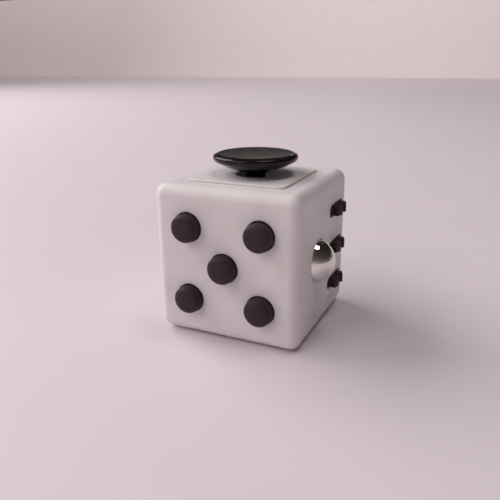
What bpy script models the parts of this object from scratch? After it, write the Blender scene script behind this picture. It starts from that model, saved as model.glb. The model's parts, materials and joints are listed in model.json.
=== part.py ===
"""Fidget cube: a six-sided desk toy, 33 mm on a side, with something to fiddle with on every face.

front   five push buttons in a dice pattern        right   a chrome ball and three cog wheels
top     a disc that glides any way and springs back left    a two-position rocker switch
back    a spinning dial                             bottom  a thumb hollow, in the cover that closes the case

Everything on a face is modelled in that face's own space: X right, Y up and Z outwards as one looks at the
face, with the origin on the middle of the shell's surface. One empty per face carries that space.
The cube stands on the table at z = 0, centred on the origin, with the buttons towards -Y.
All sizes in this file are in millimetres; MM turns them into Blender's metres.
"""

import math

import bmesh
import bpy
from mathutils import Matrix, Vector

MM = 0.001

# Driving dimensions
CUBE = 33.0
WALL = 2.0
EDGE_RADIUS = 2.4
STAND_PROUD = 0.4  # how far the bottom and top covers stand out of the shell
FIT = 0.1  # between pieces that rest on each other
HALF = CUBE / 2
MIDDLE = STAND_PROUD + HALF  # height of the cube's centre
ROUND = 24  # sides on the larger round pieces
SMALL_ROUND = 16
SCREW_ROUND = 10

# Front face: buttons
BUTTON_R = 3.0
BUTTON_PROUD = 2.5
BUTTON_ACROSS = 8.25  # from the middle button to the columns beside it
BUTTON_UP = 8.0  # and to the rows above and below
BUTTON_TRAVEL = 0.8
FLANGE_R = 3.8
FLANGE_TOP = -WALL - 0.15
FLANGE_BOTTOM = FLANGE_TOP - 0.75
NUB_BOTTOM = FLANGE_BOTTOM - 0.4
DOME_TOP = NUB_BOTTOM - FIT
DOME_HEIGHT = 1.0
DOME_BASE = DOME_TOP - DOME_HEIGHT
BRACKET_TOP = DOME_BASE - FIT
BRACKET_THICK = 1.1

# Right face: ball and cogs
BALL_R = 4.75
BALL_AT = (-4.0, 0.0, -1.2)
BALL_SEAT_GAP = 0.08
BALL_TRAVEL = 0.8
CUP_R = 5.3
CUP_BACK = -7.4
CUP_NUB = CUP_BACK - 1.4
BALL_DOME_HEIGHT = 1.1
ROLL_PLATE_TOP = CUP_NUB - BALL_DOME_HEIGHT - 2 * FIT
ROLL_PLATE_THICK = 1.2
GUIDE_TOP = -5.6  # rim of the ring that guides the cup
ROLL_SCREW_Y = 7.4
COG_R = 5.9
COG_THICK = 2.3
COG_EDGE = 0.35
COG_LINE = 8.3  # from the middle of the face to the axle
COG_PITCH = 8.7  # from one cog to the next along their axle
COG_SWEEP_R = COG_R + 0.28  # the space that a cog turns in, which is also its slot in the shell
COG_SLOT_HALF = 1.4
COG_RIM_R = 0.9
COG_TEETH = 8
COG_HUB_R = 1.7
COG_HUB_HALF = 3.65
AXLE_R = 1.0
AXLE_GAP = 0.08
AXLE_DEPTH = -3.85
RIB_THICK = 1.2

# Left face: rocker switch
PIVOT_DEPTH = -2.0
ROCKER_R = 6.5
ROCKER_HALF_WIDTH = 3.6
ROCKER_TILT = 11.0
BEZEL_HALF = (4.8, 7.7)
BEZEL_CAVITY_HALF = (3.8, 6.8)
BEZEL_FLOOR = -6.5
FLIP_PIN_R = 0.7

# Back face: dial
DIAL_R = 9.0
DIAL_RECESS = 0.5
DIAL_PROUD = 1.6
DIAL_SHAFT_R = 2.5

# Top face: gliding disc
PLATE_HALF = 11.0
PLATE_CORNER = 1.6
PLATE_HOLE_R = 4.4
PLATE_LEDGE = -1.2
LEDGE_HALF = 9.8
STEM_R = 2.2
SPIGOT_R = 1.5
GLIDE_TRAVEL = 1.5
FRAME_HALF = 10.6
FRAME_CAVITY_HALF = 9.5
FRAME_FLOOR_TOP = -4.35
FRAME_FLOOR_BOTTOM = -5.4
FRAME_SCREW = 8.0
KEY_AT = 6.0  # centre distance of the keys and slots that guide the disc
KEY_WIDTH = 1.2
KEY_LENGTH = 2.4
SLOT_WIDTH = 1.4
SLOT_HALF = KEY_LENGTH / 2 + GLIDE_TRAVEL + 0.15
SLIDER_TOP = -2.15
SLIDER_BOTTOM = -3.15
CARRIAGE_TOP = -3.3
CARRIAGE_BOTTOM = -4.2
POST_R = 2.4
POST_BOTTOM = -6.4

# Bottom face: thumb hollow
COVER_HALF = 13.35
COVER_CORNER = 1.4
COVER_LEDGE = -1.1
COVER_OPENING_HALF = 12.2
HOLLOW_R = 10.0
HOLLOW_DEPTH = 2.4
HOLLOW_WALL = 2.0


# ---------------------------------------------------------------- scene and materials


def clear_scene():
    for obj in list(bpy.data.objects):
        bpy.data.objects.remove(obj)


def new_collection(name):
    collection = bpy.data.collections.new(name)
    bpy.context.scene.collection.children.link(collection)
    return collection


def new_material(name, colour, roughness, metallic=0.0):
    material = bpy.data.materials.new(name)
    material.use_nodes = True
    surface = material.node_tree.nodes["Principled BSDF"]
    surface.inputs["Base Color"].default_value = (*colour, 1.0)
    surface.inputs["Roughness"].default_value = roughness
    surface.inputs["Metallic"].default_value = metallic
    return material


clear_scene()
TOY = new_collection("fidget_cube")
TOOLS = new_collection("cutters")

WHITE = new_material("white_plastic", (0.66, 0.62, 0.62), 0.45)
SOFT_BLACK = new_material("soft_black_plastic", (0.033, 0.024, 0.028), 0.55)
GLOSS_BLACK = new_material("gloss_black_plastic", (0.012, 0.011, 0.012), 0.12)
CHROME = new_material("chrome", (0.86, 0.85, 0.84), 0.06, 1.0)
STEEL = new_material("steel", (0.55, 0.55, 0.56), 0.3, 1.0)
GREY = new_material("grey_inner_plastic", (0.32, 0.33, 0.35), 0.5)
SILICONE = new_material("silicone", (0.5, 0.5, 0.48), 0.6)


# ---------------------------------------------------------------- meshes


def finished(mesh, bm):
    bm.to_mesh(mesh)
    bm.free()
    mesh.shade_smooth()
    mesh.set_sharp_from_angle(angle=math.radians(35))
    return mesh


def box_mesh(size):
    bm = bmesh.new()
    bmesh.ops.create_cube(bm, size=1, matrix=Matrix.Diagonal((*(Vector(size) * MM), 1)))
    return finished(bpy.data.meshes.new("box"), bm)


def cylinder_mesh(radius, depth, segments=ROUND):
    bm = bmesh.new()
    bmesh.ops.create_cone(
        bm,
        cap_ends=True,
        segments=segments,
        radius1=radius * MM,
        radius2=radius * MM,
        depth=depth * MM,
    )
    return finished(bpy.data.meshes.new("cylinder"), bm)


def sphere_mesh(radius, segments=ROUND, rings=12):
    bm = bmesh.new()
    bmesh.ops.create_uvsphere(bm, u_segments=segments, v_segments=rings, radius=radius * MM)
    return finished(bpy.data.meshes.new("sphere"), bm)


def ring_of_cylinders_mesh(radius, depth, distance, count, segments=10):
    """Parallel cylinders spaced evenly round Z, as one mesh."""
    bm = bmesh.new()
    for i in range(count):
        turn = Matrix.Rotation(i * math.tau / count, 4, "Z")
        away = Matrix.Translation((distance * MM, 0, 0))
        bmesh.ops.create_cone(
            bm,
            cap_ends=True,
            segments=segments,
            radius1=radius * MM,
            radius2=radius * MM,
            depth=depth * MM,
            matrix=turn @ away,
        )
    return finished(bpy.data.meshes.new("ring_of_cylinders"), bm)


def circle(radius, sides=ROUND, centre=(0.0, 0.0)):
    return arc(radius, 0, 360 - 360 / sides, sides - 1, centre)


def arc(radius, start, end, steps, centre=(0.0, 0.0)):
    """Points on a circle, from one angle in degrees to another, both included."""
    angles = [math.radians(start + (end - start) * i / steps) for i in range(steps + 1)]
    return [(centre[0] + radius * math.cos(a), centre[1] + radius * math.sin(a)) for a in angles]


def rounded_rectangle(half_x, half_y, radius, steps=3):
    points = []
    for start, sx, sy in ((0, 1, 1), (90, -1, 1), (180, -1, -1), (270, 1, -1)):
        corner = (sx * (half_x - radius), sy * (half_y - radius))
        points += arc(radius, start, start + 90, steps, corner)
    return points


def slab_mesh(outlines, bottom, top):
    """A flat outline, with any holes as further outlines, between two heights, as a closed mesh."""
    curve = bpy.data.curves.new("slab", "CURVE")
    curve.dimensions = "2D"
    curve.fill_mode = "BOTH"
    curve.extrude = (top - bottom) / 2 * MM
    for points in outlines:
        spline = curve.splines.new("POLY")
        spline.points.add(len(points) - 1)
        for point, (x, y) in zip(spline.points, points):
            point.co = (x * MM, y * MM, 0, 1)
        spline.use_cyclic_u = True
    guide = bpy.data.objects.new("slab", curve)
    TOOLS.objects.link(guide)
    bpy.context.view_layer.update()
    evaluated = guide.evaluated_get(bpy.context.evaluated_depsgraph_get())
    mesh = bpy.data.meshes.new_from_object(evaluated)
    bpy.data.objects.remove(guide)
    bm = bmesh.new()
    bm.from_mesh(mesh)
    bmesh.ops.remove_doubles(bm, verts=bm.verts, dist=0.001 * MM)
    bmesh.ops.translate(bm, verts=bm.verts, vec=(0, 0, (top + bottom) / 2 * MM))
    return finished(mesh, bm)


def profile_mesh(points, closed):
    """A profile in the XZ plane, as (radius, height) pairs, for a Screw modifier to turn."""
    mesh = bpy.data.meshes.new("profile")
    edges = [(i, i + 1) for i in range(len(points) - 1)]
    if closed:
        edges.append((len(points) - 1, 0))
    mesh.from_pydata([(r * MM, 0, z * MM) for r, z in points], edges, [])
    return mesh


# ---------------------------------------------------------------- objects


def place(obj, collection, parent, at, turn):
    collection.objects.link(obj)
    obj.parent = parent
    obj.location = Vector(at) * MM
    obj.rotation_euler = [math.radians(angle) for angle in turn]
    return obj


def part(name, mesh, material, parent=None, at=(0, 0, 0), turn=(0, 0, 0)):
    obj = place(bpy.data.objects.new(name, mesh), TOY, parent, at, turn)
    obj.data.materials.append(material)
    return obj


def tool(mesh, parent=None, at=(0, 0, 0), turn=(0, 0, 0), name="tool"):
    """A solid that cuts a part or is joined to one, and isn't a part itself."""
    obj = place(bpy.data.objects.new(name, mesh), TOOLS, parent, at, turn)
    obj.hide_render = True
    obj.display_type = "WIRE"
    return obj


def empty(name, at, turn=(0, 0, 0), parent=None):
    return place(bpy.data.objects.new(name, None), TOY, parent, at, turn)


def add_turn(obj, steps):
    """A full turn of the object's profile round its own Z axis."""
    screw = obj.modifiers.new("Turn", "SCREW")
    screw.axis = "Z"
    screw.steps = steps
    screw.render_steps = steps
    screw.use_merge_vertices = True
    screw.merge_threshold = 0.005 * MM
    screw.use_smooth_shade = True
    return obj


def turned_part(name, points, material, parent=None, at=(0, 0, 0), turn=(0, 0, 0), steps=ROUND, closed=False):
    return add_turn(part(name, profile_mesh(points, closed), material, parent, at, turn), steps)


def turned_tool(points, parent=None, at=(0, 0, 0), turn=(0, 0, 0), steps=ROUND):
    return add_turn(tool(profile_mesh(points, False), parent, at, turn), steps)


def combine(target, operation, tools):
    for other in tools:
        boolean = target.modifiers.new(operation.title(), "BOOLEAN")
        boolean.operation = operation
        boolean.object = other
    return target


def cut(target, *tools):
    return combine(target, "DIFFERENCE", tools)


def join(target, *tools):
    return combine(target, "UNION", tools)


def make_faces():
    """The six face spaces, as empties on the shell's surface."""
    spaces = {
        "front": empty("front_face", (0, -HALF, MIDDLE), (90, 0, 0)),
        "right": empty("right_face", (HALF, 0, MIDDLE), (90, 0, 90)),
        "back": empty("back_face", (0, HALF, MIDDLE), (90, 0, 180)),
        "left": empty("left_face", (-HALF, 0, MIDDLE), (90, 0, 270)),
        "top": empty("top_face", (0, 0, MIDDLE + HALF)),
        "bottom": empty("bottom_face", (0, 0, MIDDLE - HALF), (180, 0, 0)),
    }
    bpy.context.view_layer.update()
    return spaces


FACE = make_faces()
AXLE = empty("cog_axle_line", (HALF + AXLE_DEPTH, COG_LINE, MIDDLE))
BUTTON_PLACES = {
    "top_left": (-BUTTON_ACROSS, BUTTON_UP),
    "top_right": (BUTTON_ACROSS, BUTTON_UP),
    "centre": (0.0, 0.0),
    "bottom_left": (-BUTTON_ACROSS, -BUTTON_UP),
    "bottom_right": (BUTTON_ACROSS, -BUTTON_UP),
}
CLICK_SCREWS = ((0, BUTTON_UP), (BUTTON_ACROSS, 0), (0, -BUTTON_UP), (-BUTTON_ACROSS, 0))
COG_PLACES = {"top": COG_PITCH, "middle": 0.0, "bottom": -COG_PITCH}
RIB_PLACES = [side * COG_PITCH * (k + 0.5) for side in (-1, 1) for k in (0, 1)]
ROLL_SCREWS = ((BALL_AT[0], ROLL_SCREW_Y), (BALL_AT[0], -ROLL_SCREW_Y))
FRAME_SCREWS = [(x * FRAME_SCREW, y * FRAME_SCREW) for x, y in ((-1, -1), (1, -1), (1, 1), (-1, 1))]


# ---------------------------------------------------------------- fasteners


def make_screw(name, parent, at, head_r, head_height, shank_r, length):
    """A slotted pan-head screw, driven outwards along +Z, its head's bearing face at the origin."""
    points = [
        (0, length),
        (shank_r * 0.5, length),
        (shank_r, length - shank_r * 0.8),
        (shank_r, 0),
        (head_r, 0),
        (head_r * 0.9, -head_height),
        (0, -head_height),
    ]
    screw = turned_part(name, points, STEEL, parent, at, steps=SCREW_ROUND)
    slot = (head_r * 2.5, head_r * 0.3, head_height * 0.9)
    return cut(screw, tool(box_mesh(slot), parent, (at[0], at[1], at[2] - head_height)))


# ---------------------------------------------------------------- housing


def outer_block():
    shell = part("shell_body", box_mesh((CUBE, CUBE, CUBE)), WHITE, None, (0, 0, MIDDLE))
    bevel = shell.modifiers.new("Rounded edges", "BEVEL")
    bevel.width = EDGE_RADIUS * MM
    bevel.segments = 4
    bevel.limit_method = "NONE"
    return shell


def through_wall(mesh, face, x, y):
    """A tool centred on a face's wall."""
    return tool(mesh, FACE[face], (x, y, -WALL / 2))


def shell_openings():
    """What is cut out of the shell for the pieces on its faces."""
    deep = WALL + 1.0
    inner = CUBE - 2 * WALL
    cutters = [tool(box_mesh((inner, inner, inner)), None, (0, 0, MIDDLE), name="cavity")]
    for x, y in BUTTON_PLACES.values():
        cutters.append(through_wall(cylinder_mesh(BUTTON_R + 0.2, deep), "front", x, y))
    seat = arc(BALL_R + BALL_SEAT_GAP, 90, 0, 8)
    seat += [(seat[-1][0], -2.0), (0, -2.0)]
    cutters.append(turned_tool(seat, FACE["right"], BALL_AT))
    rim = arc(COG_RIM_R, 90, 0, 3, (COG_SWEEP_R - COG_RIM_R, COG_SLOT_HALF - COG_RIM_R))
    sweep = [(0, COG_SLOT_HALF), *rim]
    sweep += [(r, -z) for r, z in reversed(sweep)]
    for z in COG_PLACES.values():
        cutters.append(turned_tool(sweep, AXLE, (0, 0, z)))
    opening = (2 * BEZEL_HALF[0] + 0.3, 2 * BEZEL_HALF[1] + 0.3, deep)
    cutters.append(through_wall(box_mesh(opening), "left", 0, 0))
    cutters.append(tool(cylinder_mesh(DIAL_R + 0.35, 2 * DIAL_RECESS, 32), FACE["back"]))
    cutters.append(through_wall(cylinder_mesh(DIAL_SHAFT_R + AXLE_GAP, deep), "back", 0, 0))
    pocket = rounded_rectangle(PLATE_HALF + 0.15, PLATE_HALF + 0.15, PLATE_CORNER + 0.15)
    cutters.append(tool(slab_mesh([pocket], PLATE_LEDGE, 1.0), FACE["top"]))
    ledge = rounded_rectangle(LEDGE_HALF, LEDGE_HALF, PLATE_CORNER)
    cutters.append(tool(slab_mesh([ledge], -deep, 1.0), FACE["top"]))
    cover = rounded_rectangle(COVER_HALF + 0.15, COVER_HALF + 0.15, COVER_CORNER + 0.15)
    cutters.append(tool(slab_mesh([cover], COVER_LEDGE, 1.0), FACE["bottom"]))
    opening = rounded_rectangle(COVER_OPENING_HALF, COVER_OPENING_HALF, COVER_CORNER)
    cutters.append(tool(slab_mesh([opening], -deep, 1.0), FACE["bottom"]))
    return cutters


def shell_supports():
    """Screw bosses and axle ribs on the inside of the walls."""
    into_wall = 0.5
    supports = []
    length = -WALL - (BRACKET_TOP + FIT) + into_wall
    for x, y in CLICK_SCREWS:
        middle = BRACKET_TOP + FIT + length / 2
        supports.append(tool(cylinder_mesh(1.7, length, 12), FACE["front"], (x, y, middle)))
    length = -WALL - (ROLL_PLATE_TOP + FIT) + into_wall
    for x, y in ROLL_SCREWS:
        middle = ROLL_PLATE_TOP + FIT + length / 2
        supports.append(tool(cylinder_mesh(1.5, length, 12), FACE["right"], (x, y, middle)))
    rib = (3.4, RIB_THICK, 3.1 + into_wall)
    for y in RIB_PLACES:
        supports.append(tool(box_mesh(rib), FACE["right"], (COG_LINE, y, -WALL + into_wall - rib[2] / 2)))
    return supports


def shell_support_holes():
    """Pilot holes in the bosses, and the slots that the axle drops into from inside."""
    holes = []
    for x, y in CLICK_SCREWS:
        holes.append(tool(cylinder_mesh(0.8, 4.0, SCREW_ROUND), FACE["front"], (x, y, BRACKET_TOP + 0.1)))
    for x, y in ROLL_SCREWS:
        holes.append(tool(cylinder_mesh(0.8, 8.0, SCREW_ROUND), FACE["right"], (x, y, ROLL_PLATE_TOP)))
    slot_r = AXLE_R + AXLE_GAP
    length = 2 * max(RIB_PLACES) + 2 * RIB_THICK
    holes.append(tool(cylinder_mesh(slot_r, length, SMALL_ROUND), AXLE))
    holes.append(tool(box_mesh((2.4, 2 * slot_r, length)), AXLE, (-1.2, 0, 0)))
    return holes


def make_shell():
    shell = outer_block()
    cut(shell, *shell_openings())
    join(shell, *shell_supports())
    cut(shell, *shell_support_holes())


def make_bottom_cover():
    """The cover that closes the case: a thumb hollow outside, and four snap legs inside."""
    inner = COVER_LEDGE + FIT
    outline = rounded_rectangle(COVER_HALF, COVER_HALF, COVER_CORNER)
    cover = part("worry_cover", slab_mesh([outline], inner, STAND_PROUD), WHITE, FACE["bottom"])
    hollow_r = (HOLLOW_R**2 + HOLLOW_DEPTH**2) / (2 * HOLLOW_DEPTH)
    centre = STAND_PROUD - HOLLOW_DEPTH + hollow_r
    backing_r = hollow_r + HOLLOW_WALL
    rim = math.degrees(math.asin((centre - inner - 0.5) / backing_r))
    backing = [(r, centre + z) for r, z in arc(backing_r, -rim, -90, 5)]
    join(cover, turned_tool([(0, backing[0][1]), *backing], FACE["bottom"]))
    leg_x = COVER_OPENING_HALF - 0.15 - 0.4
    for turn in (0, 90, 180, 270):
        space = empty(f"cover_side_{turn}", (0, 0, 0), (0, 0, turn), FACE["bottom"])
        leg = tool(box_mesh((0.8, 5.0, 2.6)), space, (leg_x, 0, inner - 1.1))
        barb = tool(box_mesh((1.0, 4.0, 0.7)), space, (leg_x + 0.5, 0, -WALL - 0.15 - 0.35))
        join(cover, leg, barb)
    bowl = [(r, centre + z) for r, z in arc(hollow_r, -45, -90, 10)]
    cut(cover, turned_tool([(0, bowl[0][1]), *bowl], FACE["bottom"]))


# ---------------------------------------------------------------- front face: buttons


def make_button(place_name, x, y):
    points = [
        (0, BUTTON_PROUD),
        (0.5 * BUTTON_R, BUTTON_PROUD - 0.07),
        (0.85 * BUTTON_R, BUTTON_PROUD - 0.3),
        (BUTTON_R, BUTTON_PROUD - 0.85),
        (BUTTON_R, FLANGE_TOP),
        (FLANGE_R, FLANGE_TOP),
        (FLANGE_R, FLANGE_BOTTOM),
        (1.2, FLANGE_BOTTOM),
        (1.2, NUB_BOTTOM),
        (0, NUB_BOTTOM),
    ]
    turned_part(f"click_button_{place_name}", points, SOFT_BLACK, FACE["front"], (x, y, 0))


def make_snap_dome(name, parent, at, base_r, height):
    """A thin steel dome that clicks over when it is pressed. Its base rests at the given place."""
    outer_r = (base_r**2 + height**2) / (2 * height)
    inner_r = outer_r - 0.2
    drop = outer_r - height
    outer_end = math.degrees(math.asin(drop / outer_r))
    inner_end = math.degrees(math.asin(drop / inner_r))
    outer = [(r, z - drop) for r, z in arc(outer_r, 90, outer_end, 3)]
    inner = [(r, z - drop) for r, z in arc(inner_r, inner_end, 90, 3)]
    turned_part(name, outer + inner, STEEL, parent, at, steps=SMALL_ROUND)


def make_silicone_spring(place_name, x, y):
    """A silicone cone that gives without a click, for the silent buttons."""
    points = [
        (0, DOME_TOP),
        (1.7, DOME_TOP),
        (2.8, DOME_BASE + 0.25),
        (3.4, DOME_BASE + 0.25),
        (3.4, DOME_BASE),
        (2.5, DOME_BASE),
        (1.4, DOME_TOP - 0.35),
        (0, DOME_TOP - 0.35),
    ]
    turned_part(f"silicone_spring_{place_name}", points, SILICONE, FACE["front"], (x, y, 0), steps=SMALL_ROUND)


def make_click_face():
    silent = ("centre", "bottom_left")
    for place_name, (x, y) in BUTTON_PLACES.items():
        make_button(place_name, x, y)
        if place_name in silent:
            make_silicone_spring(place_name, x, y)
        else:
            make_snap_dome(f"snap_dome_{place_name}", FACE["front"], (x, y, DOME_BASE), 3.0, DOME_HEIGHT)
    holes = [circle(0.9, SCREW_ROUND, at) for at in CLICK_SCREWS]
    outline = rounded_rectangle(13.6, 11.7, 1.5)
    plate = slab_mesh([outline, *holes], BRACKET_TOP - BRACKET_THICK, BRACKET_TOP)
    part("click_bracket", plate, GREY, FACE["front"])
    for number, (x, y) in enumerate(CLICK_SCREWS, 1):
        seat = BRACKET_TOP - BRACKET_THICK - FIT
        make_screw(f"click_screw_{number}", FACE["front"], (x, y, seat), 1.4, 0.7, 0.7, 3.0)


# ---------------------------------------------------------------- right face: ball and cogs


def make_ball():
    """The ball turns in a cup, which slides in the bracket's ring and clicks when it is pressed in."""
    part("roll_ball", sphere_mesh(BALL_R), CHROME, FACE["right"], BALL_AT)
    seat_r = BALL_R + 0.12
    rim = -1.4
    seat = arc(seat_r, -90, math.degrees(math.asin(rim / seat_r)), 6)
    back = CUP_BACK - BALL_AT[2]
    nub = CUP_NUB - BALL_AT[2]
    points = [*seat, (CUP_R, rim), (CUP_R, back), (1.4, back), (1.4, nub), (0, nub)]
    turned_part("ball_cup", points, SOFT_BLACK, FACE["right"], BALL_AT)
    dome_at = (BALL_AT[0], BALL_AT[1], ROLL_PLATE_TOP + FIT)
    make_snap_dome("ball_snap_dome", FACE["right"], dome_at, 4.2, BALL_DOME_HEIGHT)


def make_cog(place_name, z):
    half = COG_THICK / 2
    bore = AXLE_R + AXLE_GAP
    points = [
        (bore, COG_HUB_HALF),
        (COG_HUB_R, COG_HUB_HALF),
        (COG_HUB_R, half),
        (COG_R - COG_EDGE, half),
        (COG_R, half - COG_EDGE),
        (COG_R, COG_EDGE - half),
        (COG_R - COG_EDGE, -half),
        (COG_HUB_R, -half),
        (COG_HUB_R, -COG_HUB_HALF),
        (bore, -COG_HUB_HALF),
    ]
    name = f"roll_cog_{place_name}"
    cog = turned_part(name, points, SOFT_BLACK, AXLE, (0, 0, z), closed=True)
    gaps = ring_of_cylinders_mesh(1.2, COG_THICK + 1.0, COG_R - 0.2, COG_TEETH)
    cut(cog, tool(gaps, AXLE, (0, 0, z)))


def make_axle():
    half = max(RIB_PLACES) + RIB_THICK / 2 - 0.05
    chamfer = 0.25
    points = [(0, half), (AXLE_R - chamfer, half), (AXLE_R, half - chamfer)]
    points += [(r, -z) for r, z in reversed(points)]
    turned_part("cog_axle", points, STEEL, AXLE, steps=SMALL_ROUND)


def make_roll_bracket():
    """The plate behind the ball, with a ring that guides the cup and two fingers that hold the axle."""
    holes = [circle(0.9, SCREW_ROUND, at) for at in ROLL_SCREWS]
    outline = [(x + 0.6, y) for x, y in rounded_rectangle(10.4, 9.0, 1.2)]
    bottom = ROLL_PLATE_TOP - ROLL_PLATE_THICK
    bracket = part("roll_bracket", slab_mesh([outline, *holes], bottom, ROLL_PLATE_TOP), GREY, FACE["right"])
    ring = [circle(r, ROUND, BALL_AT[:2]) for r in (CUP_R + 0.6, CUP_R + 0.1)]
    join(bracket, tool(slab_mesh(ring, ROLL_PLATE_TOP - 0.4, GUIDE_TOP), FACE["right"]))
    finger_top = AXLE_DEPTH - AXLE_R - FIT
    height = finger_top - ROLL_PLATE_TOP + 0.4
    for y in (-COG_PITCH / 2, COG_PITCH / 2):
        finger = box_mesh((2.0, 1.0, height))
        join(bracket, tool(finger, FACE["right"], (COG_LINE, y, finger_top - height / 2)))
    for number, (x, y) in enumerate(ROLL_SCREWS, 1):
        make_screw(f"roll_screw_{number}", FACE["right"], (x, y, bottom - FIT), 1.4, 0.8, 0.7, 4.5)


def make_roll_face():
    make_ball()
    for place_name, z in COG_PLACES.items():
        make_cog(place_name, z)
    make_axle()
    make_roll_bracket()


# ---------------------------------------------------------------- left face: rocker switch


def make_bezel():
    """The black cup that the rocker swings in. Its rim lies on the shell, and two barbs hold it from inside."""
    inner = rounded_rectangle(*BEZEL_CAVITY_HALF, 0.5)
    rim = rounded_rectangle(BEZEL_HALF[0] + 1.1, BEZEL_HALF[1] + 1.1, 2.2)
    bezel = part("flip_bezel", slab_mesh([rim, inner], 0.06, 0.6), SOFT_BLACK, FACE["left"])
    body = rounded_rectangle(*BEZEL_HALF, 0.6)
    join(bezel, tool(slab_mesh([body, inner], BEZEL_FLOOR - 1.0, 0.3), FACE["left"]))
    join(bezel, tool(slab_mesh([body], BEZEL_FLOOR - 1.0, BEZEL_FLOOR), FACE["left"]))
    for side in (-1, 1):
        at = (0, side * BEZEL_HALF[1], -WALL - 0.6)
        join(bezel, tool(box_mesh((5.0, 0.9, 0.9)), FACE["left"], at))
    pin_hole = cylinder_mesh(FLIP_PIN_R + AXLE_GAP, 2 * BEZEL_HALF[0] + 1.0, SMALL_ROUND)
    cut(bezel, tool(pin_hole, FACE["left"], (0, 0, PIVOT_DEPTH), (0, 90, 0)))


def rocker_outline():
    """Seen along the pin, with the pivot at the origin: a shallow V on top, round ends and a tail that clicks."""
    valley = 3.2
    rise = math.tan(math.radians(ROCKER_TILT))
    lip = 5.0
    lip_angle = math.degrees(math.atan2(valley + rise * lip, lip))
    right_end = arc(ROCKER_R, lip_angle, -15, 6)
    tail = [(1.3, -2.2), (0.35, -3.6)]
    right_side = right_end + tail
    left_side = [(-y, z) for y, z in reversed(right_side)]
    return [(0, valley), *right_side, *left_side]


def make_rocker():
    pivot = empty("flip_pivot", (0, 0, PIVOT_DEPTH), (ROCKER_TILT, 0, 0), FACE["left"])
    mesh = slab_mesh([rocker_outline()], -ROCKER_HALF_WIDTH, ROCKER_HALF_WIDTH)
    rocker = part("flip_rocker", mesh, SOFT_BLACK, pivot, turn=(90, 0, 90))
    bore = cylinder_mesh(FLIP_PIN_R + AXLE_GAP, 3 * ROCKER_HALF_WIDTH, SMALL_ROUND)
    cut(rocker, tool(bore, pivot, turn=(0, 90, 0)))
    pin_half = BEZEL_HALF[0] - 0.1
    points = [(0, pin_half), (FLIP_PIN_R, pin_half), (FLIP_PIN_R, -pin_half), (0, -pin_half)]
    turned_part("flip_pin", points, STEEL, FACE["left"], (0, 0, PIVOT_DEPTH), (0, 90, 0), steps=SMALL_ROUND)


def make_leaf_spring():
    """A bent strip on the bezel's floor. Its hump pushes the rocker's tail to one side or the other."""
    flat = BEZEL_FLOOR + 0.2
    line = [(-5.6, flat), (-3.4, flat + 0.1), (-1.0, flat), (0, flat + 0.7)]
    line += [(1.0, flat), (3.4, flat + 0.1), (5.6, flat)]
    half_width = 2.2
    bm = bmesh.new()
    rows = [[bm.verts.new((x * MM, y * MM, z * MM)) for x in (-half_width, half_width)] for y, z in line]
    for (a, b), (c, d) in zip(rows, rows[1:]):
        bm.faces.new((a, b, d, c))
    leaf = part("flip_leaf_spring", finished(bpy.data.meshes.new("leaf"), bm), STEEL, FACE["left"])
    solidify = leaf.modifiers.new("Thickness", "SOLIDIFY")
    solidify.thickness = 0.15 * MM
    solidify.offset = 0


def make_flip_face():
    make_bezel()
    make_rocker()
    make_leaf_spring()


# ---------------------------------------------------------------- back face: dial


def make_spin_face():
    shaft_end = -WALL - 0.9
    underside = -DIAL_RECESS + 0.15
    points = [
        (0, DIAL_PROUD),
        (DIAL_R - 0.9, DIAL_PROUD),
        (DIAL_R - 0.3, DIAL_PROUD - 0.25),
        (DIAL_R, DIAL_PROUD - 0.8),
        (DIAL_R, underside),
        (DIAL_SHAFT_R, underside),
        (DIAL_SHAFT_R, shaft_end),
        (0, shaft_end),
    ]
    dial = turned_part("spin_dial", points, SOFT_BLACK, FACE["back"], steps=32)
    dimple_r = 4.0
    cut(dial, tool(sphere_mesh(dimple_r), FACE["back"], (5.2, 0, DIAL_PROUD + dimple_r - 1.0)))
    cut(dial, tool(cylinder_mesh(1.0, 4.0, SCREW_ROUND), FACE["back"], (0, 0, shaft_end + 1.2)))
    washer_r = 4.4
    cone = [
        (DIAL_SHAFT_R + 0.2, -WALL - 0.1),
        (washer_r - 0.8, -WALL - 0.1),
        (washer_r, -WALL - 0.55),
        (washer_r, -WALL - 0.85),
        (DIAL_SHAFT_R + 0.2, -WALL - 0.4),
    ]
    turned_part("dial_spring_washer", cone, STEEL, FACE["back"], steps=SMALL_ROUND, closed=True)
    washer_top = shaft_end - FIT
    flat = [(1.0, washer_top), (washer_r, washer_top), (washer_r, washer_top - 0.5), (1.0, washer_top - 0.5)]
    turned_part("dial_washer", flat, STEEL, FACE["back"], steps=SMALL_ROUND, closed=True)
    make_screw("dial_screw", FACE["back"], (0, 0, washer_top - 0.5 - FIT), 1.9, 0.9, 0.85, 3.6)


# ---------------------------------------------------------------- top face: gliding disc


def make_glide_plate():
    """The square insert in the top, with a flange on the shell's ledge and a boss through it."""
    hole = circle(PLATE_HOLE_R)
    outline = rounded_rectangle(PLATE_HALF, PLATE_HALF, PLATE_CORNER)
    plate = part("glide_plate", slab_mesh([outline, hole], PLATE_LEDGE + FIT, STAND_PROUD), WHITE, FACE["top"])
    boss = rounded_rectangle(LEDGE_HALF - 0.2, LEDGE_HALF - 0.2, PLATE_CORNER - 0.2)
    join(plate, tool(slab_mesh([boss, hole], -WALL, -0.5), FACE["top"]))
    for x, y in FRAME_SCREWS:
        cut(plate, tool(cylinder_mesh(0.7, 2.8, SCREW_ROUND), FACE["top"], (x, y, -WALL)))


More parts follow.
